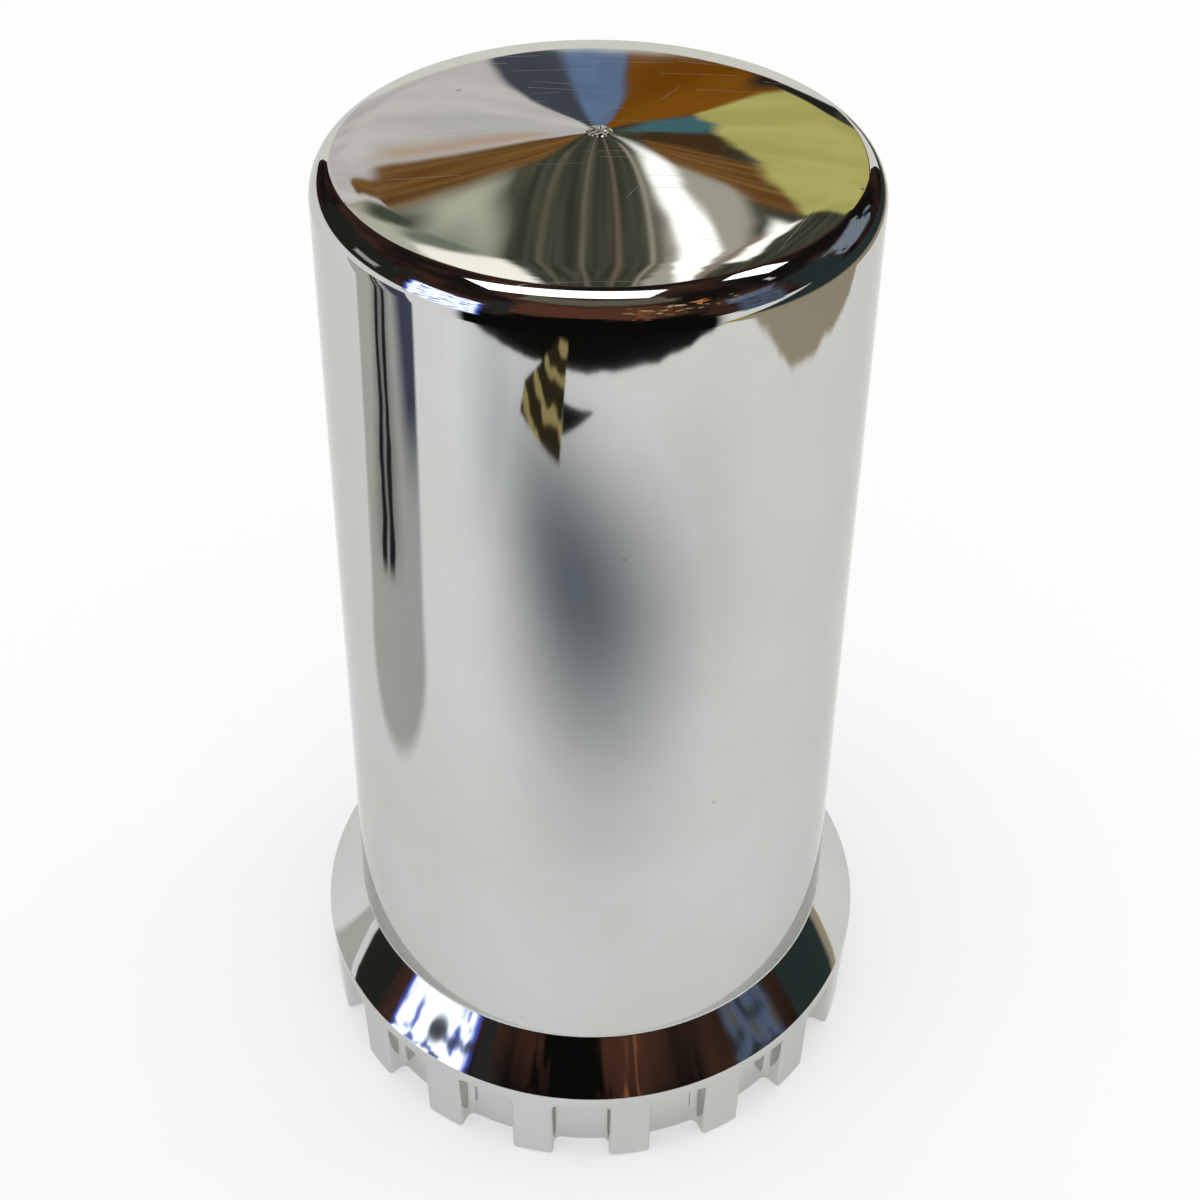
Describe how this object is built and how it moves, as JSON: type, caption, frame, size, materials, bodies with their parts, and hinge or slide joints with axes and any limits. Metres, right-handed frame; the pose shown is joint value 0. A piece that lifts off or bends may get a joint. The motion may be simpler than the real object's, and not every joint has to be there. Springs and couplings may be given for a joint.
{
  "type": "lug nut cap",
  "caption": "Tall tapered chrome plated push-on cap for a flanged wheel nut, with a rounded closed top, conical shoulder and a flange skirt notched with grip teeth.",
  "frame": {"origin": "centre of the foot of the flange skirt, on the cap's axis", "axes": "+Z along the cap's axis towards its closed top, a grip tooth centred on +X"},
  "size_m": [0.0612, 0.0612, 0.105],
  "materials": {
    "chrome_plating": "bright chrome plating on moulded plastic"
  },
  "bodies": {
    "root": {"nut_cap": "chrome_plating"}
  },
  "joints": []
}
